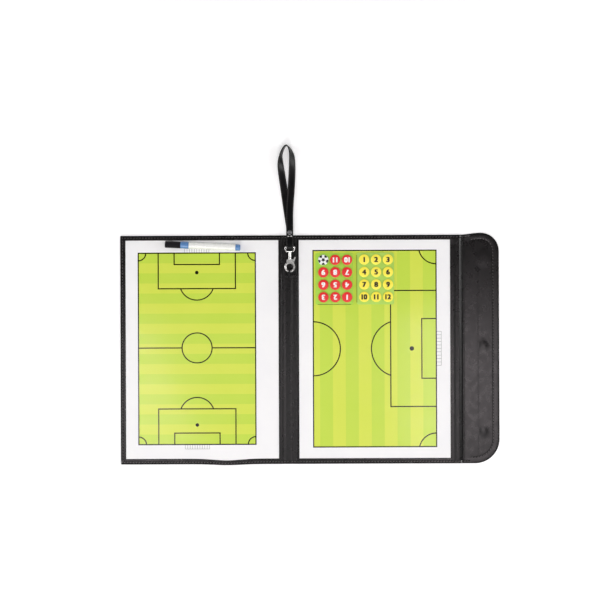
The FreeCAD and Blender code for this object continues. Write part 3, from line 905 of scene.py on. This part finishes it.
def right_print():
    """Half a pitch with its goal at the right."""
    shape = Shape()
    x, y = right_pitch_middle
    half = right_end["half_width"]
    left = x - right_pitch_half
    right = x + right_pitch_half
    edges = [left]
    while edges[-1] < right:
        edges.append(min(left + right_first_band + right_band * (len(edges) - 1), right))
    for band, (start, end) in enumerate(zip(edges, edges[1:])):
        shape.add(slab(oblong(start, end, y - half, y + half), board_z, board_z + ink_height), (band + 1) % 2)
    ink(shape, oblong(left, right, y - half, y + half), True)
    ink(shape, arc(left, y, right_circle, -90, 90, half_circle_steps))
    goal_end(shape, lambda depth, across: (right - depth, y + across), right_end)
    return shape.build("right_pitch_print", print_materials)


for made, body in ((left_print(), "left_panel"), (right_print(), "right_panel")):
    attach(made, body)


# Token sheets, and tokens with their numbers

# A token's edge: heights, and the share of its radius there
token_rim = [(0.0, 0.9), (0.12, 0.97), (0.5, 1.0), (1.55, 1.0), (1.8, 0.985), (1.94, 0.955), (2.0, 0.92)]
token_sides = 48
token_ink = 0.03
digit_size = 9.6
digit_strikes = [(0.0, 0.0), (-0.6, -0.3), (-0.6, 0.3), (0.6, -0.3), (0.6, 0.3)]
strike_step = 0.008
pair_squeeze_share = 0.94
upright_turn = Matrix.Rotation(math.radians(-90), 4, "Y")


def number_mesh(text):
    """A number as flat plates of thin ink, centred and struck side by side to make it bold."""
    curve = bpy.data.curves.new("number", "FONT")
    curve.body = text
    curve.size = digit_size
    curve.extrude = token_ink
    vertices, faces = read_curve(curve)
    xs = [v.x for v in vertices]
    ys = [v.y for v in vertices]
    x_middle = (min(xs) + max(xs)) / 2
    y_middle = (min(ys) + max(ys)) / 2
    squeeze = pair_squeeze_share if len(text) > 1 else 1.0
    plain = [Vector(((v.x - x_middle) * squeeze, v.y - y_middle, v.z)) for v in vertices]
    strikes = [Vector((x, y, order * strike_step)) for order, (x, y) in enumerate(digit_strikes)]
    return [([v + strike for v in plain], faces) for strike in strikes]


# Patches of a football on the white token, as shares of its radius
ball_sides = 5
ball_centre_share = 0.34
ball_rim_shares = [(0.62, -15), (0.93, -21), (0.985, -10), (0.985, 10), (0.93, 21), (0.62, 15), (0.56, 0)]
ball_seam_shares = (0.3, 0.58)
ball_seam_width = 0.35


def disc(node):
    """Middle and radius of a token."""
    low, high = box_mm(node)
    return (low + high) / 2, (high.x - low.x) / 2


def ball_patches(radius):
    """Dark patches and seams of a football."""
    turns = [90 + 360 * side / ball_sides for side in range(ball_sides)]
    parts = [slab([polar(radius * ball_centre_share, turn) for turn in turns], 0.0, token_ink)]
    for turn in turns:
        patch = [polar(radius * share, turn + angle) for share, angle in ball_rim_shares]
        parts.append(slab(patch, 0.0, token_ink))
        ends = [polar(radius * share, turn) for share in ball_seam_shares]
        parts.append(stripe(ends, ball_seam_width, 0.0, token_ink / 2))
    return parts


def token(node, parts, ink_material, face_material, upside_down):
    """A magnetic disc with its print."""
    low, high = box_mm(node)
    middle, radius = disc(node)
    scale = (high.z - low.z) / token_rim[-1][0]
    profile = [(along * scale, share * radius) for along, share in token_rim]
    upright = Matrix.Translation((middle.x, middle.y, low.z)) @ upright_turn
    shape = Shape().add(lathe(profile, upright, token_sides))
    turn = Matrix.Rotation(math.pi if upside_down else 0.0, 4, "Z")
    place = Matrix.Translation((middle.x, middle.y, high.z)) @ turn
    for vertices, faces in parts:
        shape.add(([place @ Vector(v) for v in vertices], faces), 1)
    made = shape.build(node + "_disc", [face_material, ink_material])
    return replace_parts(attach(made, node), node)


red_names = sorted(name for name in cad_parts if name.startswith("token_red_"))
yellow_names = sorted(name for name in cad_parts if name.startswith("token_yellow_"))
for count, node in enumerate(red_names, 1):
    token(node, number_mesh(str(count)), ink_white, token_red, True)
for count, node in enumerate(yellow_names, 1):
    token(node, number_mesh(str(count)), ink_brown, token_yellow, False)
ball_radius = disc("token_ball")[1]
token("token_ball", ball_patches(ball_radius), ink_black, token_white, True)

# A sheet's edge: shares of its height, and the inset of its outline there
sheet_rim = [(0.0, 0.25), (0.0, 0.0), (0.75, 0.0), (0.93, 0.08), (1.0, 0.25)]
sheet_corner = 3.0
oblong_corner_steps = 10
die_cut_width = 0.5
die_cut_depth = 0.02
die_cut_steps = 40
# Width of the painted shadow stripe along one edge of a sheet
painted_shadow_width = 1.0


def rounded_oblong(low, high, corner, inset):
    """The outline of a rectangle with round corners, moved inwards."""
    left, right = low.x + corner, high.x - corner
    bottom, top = low.y + corner, high.y - corner
    ring = []
    for quarter, (x, y) in enumerate([(right, top), (left, top), (left, bottom), (right, bottom)]):
        ring += arc(x, y, corner - inset, 90 * quarter, 90 * quarter + 90, oblong_corner_steps)
    return ring


def rounded_plate(low, high, corner, rim):
    """A plate with round corners and an edge of height shares and insets."""
    levels = [(low.z + (high.z - low.z) * share, inset) for share, inset in rim]
    return loft([[(x, y, z) for x, y in rounded_oblong(low, high, corner, inset)] for z, inset in levels])


def token_sheet(node, body, material, tokens, shadow_side):
    """A flexible carrier sheet with a painted shadow along one edge and the die-cut rings that its tokens
    came out of.
    """
    low, high = box_mm(node)
    ink_z = (high.z - die_cut_depth, high.z + die_cut_depth)
    shape = Shape().add(rounded_plate(low, high, sheet_corner, sheet_rim))
    for name in tokens:
        middle, radius = disc(name)
        ring = arc(middle.x, middle.y, radius + die_cut_width, 0, 360, die_cut_steps)[:-1]
        shape.add(stripe(ring, die_cut_width, *ink_z, True))
    # Painted shadow along the sheet's left or lower edge, as a dark stripe
    inset = painted_shadow_width / 2
    ends = [(low.x + inset, low.y + sheet_corner), (low.x + inset, high.y - sheet_corner)]
    if shadow_side == "low":
        ends = [(low.x + sheet_corner, low.y + inset), (high.x - sheet_corner, low.y + inset)]
    shape.add(stripe(ends, painted_shadow_width, *ink_z), 1)
    made = shape.build(node + "_plate", [material, painted_sheet_shadow])
    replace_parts(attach(made, body), node)


token_sheet("token_sheet_red", "red_sheet", sheet_green, red_names + ["token_ball"], "low")
token_sheet("token_sheet_yellow", "yellow_sheet", sheet_lime, yellow_names, "left")


# Marker pen, turned about its axis

pen_sides = 64
pen_tilt = -2.8
eraser_low, eraser_high = box_mm("pen_eraser")
cap_low, cap_high = box_mm("pen_cap")
pen_level = (cap_low.z + cap_high.z) / 2
pen_way = Vector((*polar(1.0, pen_tilt), 0))
pen_across = Vector((-pen_way.y, pen_way.x, 0))
eraser_radius = (eraser_high.z - eraser_low.z) / 2
pen_start = Vector((eraser_low.x, eraser_high.y, pen_level)) - pen_across * eraser_radius
pen_start.x = eraser_low.x + eraser_radius * abs(pen_way.y)
pen_place = Matrix.Translation(pen_start) @ Matrix.Rotation(math.radians(pen_tilt), 4, "Z")

# Profiles of the pen's pieces: distance from its end, and radius
eraser_profile = [
    (0.0, 0.5), (0.0, 3.9), (0.15, 4.3), (0.5, 4.6), (1.0, 4.7), (21.0, 4.7), (21.6, 4.62), (21.95, 4.3),
]
cap_profile = [
    (21.6, 4.2), (21.75, 4.6), (22.1, 4.8), (23.0, 4.8), (23.15, 4.65), (23.5, 4.65), (23.65, 4.8),
    (24.4, 4.8), (24.55, 4.65), (24.9, 4.65), (25.05, 4.8), (31.6, 4.8), (32.4, 4.76), (32.8, 4.66),
    (33.0, 4.4), (33.0, 3.5), (22.6, 3.5), (22.6, 1.6), (17.0, 1.6), (17.0, 0.2),
]
barrel_profile = [
    (22.5, 0.95), (22.5, 1.4), (26.0, 3.35), (27.0, 3.4), (33.0, 3.4), (33.1, 4.2), (33.3, 4.42), (33.7, 4.5),
    (60.0, 4.52), (90.0, 4.5), (97.8, 4.5), (98.2, 4.42), (98.4, 4.2), (98.4, 3.2), (95.9, 3.2), (95.9, 0.2),
]
plug_profile = [
    (90.9, 0.2), (90.9, 3.15), (98.42, 3.15), (98.42, 4.0), (98.6, 4.25), (98.9, 4.36), (99.5, 4.38),
    (103.3, 4.3), (104.2, 4.15), (104.8, 3.8), (105.1, 3.2), (105.1, 2.2), (104.7, 1.9), (104.7, 0.2),
]
for name, profile, material, body, node, slot in (
    ("pen_eraser_felt", eraser_profile, pen_felt, "pen_cap", "pen_eraser", "pen_felt"),
    ("pen_cap_shell", cap_profile, pen_blue, "pen_cap", "pen_cap", "pen_blue"),
    ("pen_barrel_tube", barrel_profile, pen_white, "pen", "pen_barrel", "pen_white"),
    ("pen_end_cap", plug_profile, pen_blue, "pen", "pen_end_plug", "pen_blue"),
):
    made = Shape().add(lathe(profile, pen_place, pen_sides)).build(name, [material], pen_sharp)
    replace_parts(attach(made, body), node)


# Wrist strap: its free loop is a cord, and its riveted tail runs round the eye

strap_width = 10.0
strap_thickness = 1.6
rivet_low, rivet_high = box_mm("strap_rivets")
fold_low, fold_high = box_mm("strap_fold")
clasp_x = (fold_low.x + fold_high.x) / 2
clasp_z = (fold_low.z + fold_high.z) / 2
main_rivet_radius = 3.4
rivet_y = rivet_high.y - main_rivet_radius
ply_gap = 0.1
strap_ply = (strap_thickness + ply_gap) / 2
strap_flat_half = 6.6
strap_fold_radius = (fold_high.z - fold_low.z - strap_thickness) / 2
eye_bar_y = fold_low.y + strap_fold_radius + strap_thickness / 2

# The free loop, laid point by point: X and Y from the rivet, height, and the lean of the width in degrees
strap_loop_points = [
    (-0.2, 23.9, 4.0, 0),
    (0.6, 40.7, 3.0, 0),
    (2.2, 60.3, 2.9, 4),
    (3.2, 77.1, 2.1, 10),
    (3.8, 93.9, 3.2, 25),
    (3.6, 105.8, 4.4, 40),
    (1.5, 114.6, 5.2, 66),
    (-1.5, 120.3, 5.4, 82),
    (-4.2, 122.3, 5.4, 90),
    (-7.0, 120.2, 5.4, 98),
    (-10.4, 113.9, 5.4, 105),
    (-12.6, 106.2, 5.3, 113),
    (-13.0, 98.0, 4.2, 140),
    (-11.5, 84.5, 2.6, 162),
    (-8.9, 68.3, 1.5, 173),
    (-5.9, 46.3, 0.9, 180),
    (-3.3, 28.1, 1.1, 180),
    (-1.4, 15.8, 2.6, 180),
]
flat_ends = (0.0, strap_flat_half)
strap_route = [(Vector((clasp_x, rivet_y + y, clasp_z + strap_ply)), 0) for y in flat_ends]
strap_route += [(Vector((clasp_x + x, rivet_y + y, z)), lean) for x, y, z, lean in strap_loop_points]
strap_route += [(Vector((clasp_x, rivet_y + y, clasp_z - strap_ply)), 180) for y in reversed(flat_ends)]
route_steps = 8
route_order = 3

# Half of the band's section: place across and height, with a groove for the seam
strap_half_section = [
    (0.0, 0.84), (1.7, 0.83), (3.2, 0.8), (3.5, 0.76), (3.7, 0.66), (3.9, 0.66), (4.1, 0.76), (4.4, 0.78),
    (4.7, 0.66), (4.9, 0.42), (4.98, 0.18),
]
strap_upper = [(-x, y) for x, y in reversed(strap_half_section[1:])] + strap_half_section
strap_section = strap_upper + [(x, -y) for x, y in reversed(strap_upper)]
strap_seam = 3.8
strap_stitch_height = 0.74
strap_stitch_pitch = 3.0
strap_stitch_length = 2.1
strap_stitch_radius = 0.22


def spline_points(points):
    """Points read along a smooth spline with these points as its controls."""
    curve = bpy.data.curves.new("route", "CURVE")
    curve.dimensions = "3D"
    curve.resolution_u = route_steps
    spline = curve.splines.new("NURBS")
    spline.points.add(len(points) - 1)
    for control, point in zip(spline.points, points):
        control.co = (*point, 1.0)
    spline.order_u = route_order
    spline.use_endpoint_u = True
    return read_curve(curve)[0]


def strap_frames():
    """Middle, way, width and face direction of the band at each point along its spline."""
    points = [point for point, lean in strap_route]
    edges = []
    for (point, lean), way in zip(strap_route, ways(points)):
        inward = Z_AXIS.cross(way).normalized()
        upward = way.cross(inward)
        across, up = polar(strap_width / 2, lean)
        edges.append(point + inward * across + upward * up)
    middles = spline_points(points)
    frames = []
    for middle, rim, way in zip(middles, spline_points(edges), ways(middles)):
        wide = rim - middle
        wide = (wide - way * wide.dot(way)).normalized()
        frames.append((middle, way, wide, way.cross(wide)))
    return frames


def band_seams(frames):
    """Stitches along both edges and on both faces of a band."""
    shape = Shape()
    for side in (-strap_seam, strap_seam):
        for face_side in (-1, 1):
            height = face_side * strap_stitch_height
            row = []
            for middle, way, wide, face in frames:
                row.append((middle + wide * side + face * height, face * face_side))
            for place, way in walk([point for point, normal in row], strap_stitch_pitch):
                normal = min(row, key=lambda item: (item[0] - place).length_squared)[1]
                normal = (normal - way * normal.dot(way)).normalized()
                shape.add(stitch(place, way, normal, strap_stitch_length, strap_stitch_radius))
    return shape


def sewn_band(frames, name, seam_name):
    """A stretch of the strap and its stitches."""
    leather_band = Shape().add(band(frames, strap_section)).build(name, [strap_leather], leather_sharp)
    return leather_band, band_seams(frames).build(seam_name, [thread], thread_sharp)


# The tail: down one ply from the rivet, round the bar of the eye and back up the other
fold_turn_steps = 20
tail_ease = 3.0
tail_rise = 0.2
tail_line = [
    (rivet_y, strap_ply),
    (rivet_y - strap_flat_half, strap_ply),
    (rivet_y - strap_flat_half - tail_ease, strap_ply + tail_rise),
    (fold_high.y + tail_ease, strap_fold_radius - tail_rise),
    (fold_high.y, strap_fold_radius),
    (eye_bar_y, strap_fold_radius),
]
tail_turn = arc(eye_bar_y, 0, strap_fold_radius, 90, 270, fold_turn_steps)[1:-1]
tail_route = tail_line + tail_turn + [(y, -z) for y, z in reversed(tail_line)]
loop_frames = strap_frames()
tail_frames = upright_frames([Vector((clasp_x, y, clasp_z + z)) for y, z in tail_route])
strap_band, strap_thread = sewn_band(loop_frames, "strap_band", "strap_seam")
strap_tail, tail_thread = sewn_band(tail_frames, "strap_tail", "strap_tail_seam")

# Rivets: radius and height shares of a head, which is a rolled ring round a dimple
rivet_head_shares = [
    (0.26, 0.22), (0.34, 0.4), (0.42, 0.8), (0.55, 1.0), (0.7, 1.0), (0.86, 0.78), (0.96, 0.4), (1.0, 0.0),
]
small_rivet_shares = [(0.35, 0.95), (0.65, 0.75), (0.88, 0.4), (1.0, 0.0)]
small_rivet_radius = 1.1
small_rivet_spread = 1.9
small_rivet_y = rivet_low.y + small_rivet_radius
head_height = 1.05
small_head_height = 0.75
shank_share = 0.3
rivet_sides = 32


def rivet_form(x, y, radius, height, shares):
    """A rivet with the same head on both faces of the strap."""
    face = strap_ply + strap_thickness / 2
    upper = [(face + height * rise, radius * share) for share, rise in shares]
    upper.append((face, radius * shank_share))
    profile = [(-along, reach) for along, reach in upper] + upper[::-1]
    return lathe(profile, Matrix.Translation((x, y, clasp_z)) @ upright_turn, rivet_sides)


rivets = Shape()
rivets.add(rivet_form(clasp_x, rivet_y, main_rivet_radius, head_height, rivet_head_shares))
for x in (clasp_x - small_rivet_spread, clasp_x + small_rivet_spread):
    rivets.add(rivet_form(x, small_rivet_y, small_rivet_radius, small_head_height, small_rivet_shares), 1)
rivet_piece = rivets.build("rivet_heads", [rivet_metal, clasp_metal])
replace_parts(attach(rivet_piece, "strap"), "strap_rivets")
for made in (strap_band, strap_thread, strap_tail, tail_thread):
    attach(made, "strap")
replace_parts(strap_band, "strap_loop")
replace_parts(strap_tail, "strap_fold")


# Leather tab that ties the hook to the spine

tab_low, tab_high = box_mm("hook_tab")
tab_shift = 0.9
tab_half = 1.7
tab_thickness = 1.2
tab_radius = 3.05
tab_slope = 55.1
tab_turn_steps = 24
tab_sewn_gap = 4.6
tab_section_shares = [(-1.0, 0.1), (-0.97, 0.38), (-0.88, 0.5), (0.88, 0.5), (0.97, 0.38), (1.0, 0.1)]
tab_x = clasp_x - tab_shift
tab_centre_y = tab_high.y - tab_radius - tab_thickness / 2
tab_sewn_y = tab_centre_y - tab_sewn_gap
lower_ply = clasp_z - tab_radius
upper_ply = lower_ply + tab_thickness

# Where the upper ply comes down on the lower one: the way up from the seam, and the height over that ply
tab_landing = [(0.6, 0.3), (-0.8, 0.0)]
tab_line = [(tab_low.y, lower_ply), (tab_sewn_y, lower_ply), (tab_centre_y, lower_ply)]
tab_line += arc(tab_centre_y, clasp_z, tab_radius, -90, 90 + tab_slope, tab_turn_steps)[1:]
tab_line += [(tab_sewn_y + way, upper_ply + rise) for way, rise in tab_landing]
tab_line.append((tab_low.y, upper_ply))
tab_upper = [(x * tab_half, y * tab_thickness) for x, y in tab_section_shares]
tab_section = tab_upper + [(x, -y) for x, y in reversed(tab_upper)]
tab_shape = Shape().add(band(upright_frames([Vector((tab_x, y, z)) for y, z in tab_line]), tab_section))

# Its wide base is sewn down on the spine: shares of its height, with the inset of the outline there
base_rim = [(0.0, 0.2), (0.15, 0.0), (0.7, 0.0), (0.9, 0.12), (1.0, 0.4)]
base_corner = 1.6
base_short = 0.4
base_seam = 1.3
base_stitch_pitch = 2.3
base_stitch_length = 1.6
base_stitch_radius = 0.24
base_low = Vector((tab_low.x, tab_low.y, soft_z))
base_high = Vector((tab_high.x, tab_sewn_y - base_short, lower_ply + tab_thickness / 2))
tab_shape.add(rounded_plate(base_low, base_high, base_corner, base_rim))
base_ring = rounded_oblong(base_low, base_high, base_corner, base_seam)
base_line = [Vector((x, y, base_high.z)) for x, y in base_ring]
for place, way in walk(base_line + base_line[:1], base_stitch_pitch):
    if abs(place.x - tab_x) > tab_half + base_stitch_radius:
        tab_shape.add(stitch(place, way, Z_AXIS, base_stitch_length, base_stitch_radius), 1)
tab_piece = tab_shape.build("hook_tab_leather", [strap_leather, thread], leather_sharp)
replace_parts(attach(tab_piece, "spine"), "hook_tab")


# CAD nodes that stay

kept_nodes = [
    (board_white, ("left_pitch_board", "right_pitch_board")),
    (card, ("left_stiffener", "right_stiffener")),
    (sheet_metal, ("left_steel_sheet", "right_steel_sheet")),
    (magnet_metal, ("flap_magnets",)),
    (pen_felt, ("pen_nib", "pen_reservoir")),
    (clasp_metal, ("hook_body", "gate_lever", "gate_pin", "gate_spring", "swivel_eye")),
]
for material, names in kept_nodes:
    for name in names:
        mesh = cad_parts[name].data
        mesh.materials.clear()
        mesh.materials.append(material)
        mesh.shade_smooth()
        mesh.set_sharp_from_angle(angle=math.radians(kept_sharp))


# Floor, light and camera

# A pale floor, in metres: it glows for what sees it, and more so far out where the lamps don't reach
floor_half = 1.6
floor_level = -0.0003
glow_reach = (0.5, 1.2)
glow_strength = (0.34, 0.9)
floor_grey = (0.8, 0.8, 0.8, 1.0)
white = (1.0, 1.0, 1.0)
floor_mesh = bpy.data.meshes.new("floor")
floor_corners = oblong(-floor_half, floor_half, -floor_half, floor_half)
floor_mesh.from_pydata([(x, y, floor_level) for x, y in floor_corners], [], [[0, 1, 2, 3]])
floor = placed("floor", floor_mesh)
floor_look = Surface("floor", floor_grey, roughness=1.0, Specular_IOR_Level=0.0, Emission_Color=(*white, 1.0))
light_path = floor_look.node("ShaderNodeLightPath")
seen = light_path.outputs["Is Camera Ray"]
for ray in ("Is Glossy Ray", "Is Transmission Ray"):
    seen = floor_look.worked("MAXIMUM", seen, light_path.outputs[ray])
far_off = floor_look.node("ShaderNodeVectorMath", {"operation": "LENGTH"}, Vector=floor_look.place)
glow = floor_look.spread(far_off.outputs["Value"], *glow_strength, *glow_reach)
floor_look.put(floor_look.shader, Emission_Strength=floor_look.worked("MULTIPLY", seen, glow))
floor_mesh.materials.append(floor_look.material)

# The room is white all round near the floor and dark overhead, by the height of the direction looked in
room_stops = [(0.15, 1.0), (0.28, 0.52), (0.9, 0.04)]
world = bpy.data.worlds.new("studio")
bpy.context.scene.world = world
world.use_nodes = True
room_nodes = world.node_tree.nodes
room_place = room_nodes.new("ShaderNodeTexCoord")
room_height = room_nodes.new("ShaderNodeSeparateXYZ")
room_fall = room_nodes.new("ShaderNodeValToRGB")
for height, level in room_stops[1:-1]:
    room_fall.color_ramp.elements.new(height)
for stop, (height, level) in zip(room_fall.color_ramp.elements, room_stops):
    stop.position = height
    stop.color = (level, level, level, 1.0)
for output, socket in (
    (room_place.outputs["Generated"], room_height.inputs["Vector"]),
    (room_height.outputs["Z"], room_fall.inputs["Fac"]),
    (room_fall.outputs["Color"], room_nodes["Background"].inputs["Color"]),
):
    world.node_tree.links.new(output, socket)

# Soft oblong lamps, in metres: name, place, point aimed at, width, depth, power, turn in degrees and tint
box_tint = (1.0, 0.88, 0.92)
lamps = [
    ("overhead", (0.0, -0.21, 0.9), (0.0, -0.21, 0.0), 1.1, 0.5, 1.6, 0.0, white),
    ("right_box", (0.292, -0.1, 0.87), (0.292, -0.1, 0.0), 0.228, 0.29, 1.0, 0.0, box_tint),
    ("left_box", (-0.338, -0.126, 0.87), (-0.338, -0.126, 0.0), 0.158, 0.287, 0.76, 20.0, box_tint),
    ("front", (-0.5, -3.0, 2.6), (0.0, 0.2, 0.0), 1.4, 1.0, 55.0, 0.0, white),
    ("left", (-1.65, 0.3, 0.88), (-0.1, 0.1, 0.0), 0.8, 0.8, 10.5, 0.0, white),
    ("right", (1.65, 0.3, 0.88), (0.1, 0.1, 0.0), 0.8, 0.8, 10.5, 0.0, white),
    ("clasp", (-0.03, 0.17, 0.9), (-0.03, 0.17, 0.0), 0.1, 0.1, 0.02, 0.0, white),
]
for name, place, aim, width, depth, power, turn, tint in lamps:
    data = bpy.data.lights.new(name, "AREA")
    data.shape = "RECTANGLE"
    data.size = width
    data.size_y = depth
    data.energy = power
    data.color = tint
    made = placed(name, data)
    made.location = place
    made.rotation_euler = (Vector(aim) - Vector(place)).to_track_quat("-Z", "Y").to_euler()
    made.rotation_euler.z += math.radians(turn)

# The photograph looks straight down from far above, with the board turned slightly in its frame
aim_x = -2.4
aim_y = 58.15
frame_width = 861.9
camera_height = 2200.0
board_turn = 0.22
camera_data = bpy.data.cameras.new("camera")
camera = placed("camera", camera_data)
camera.location = Vector((aim_x, aim_y, board_z + camera_height)) * MM
camera.rotation_euler = (0.0, 0.0, math.radians(-board_turn))
camera_data.lens = camera_data.sensor_width * camera_height / frame_width
bpy.context.scene.camera = camera
bpy.context.scene.view_settings.view_transform = "Standard"
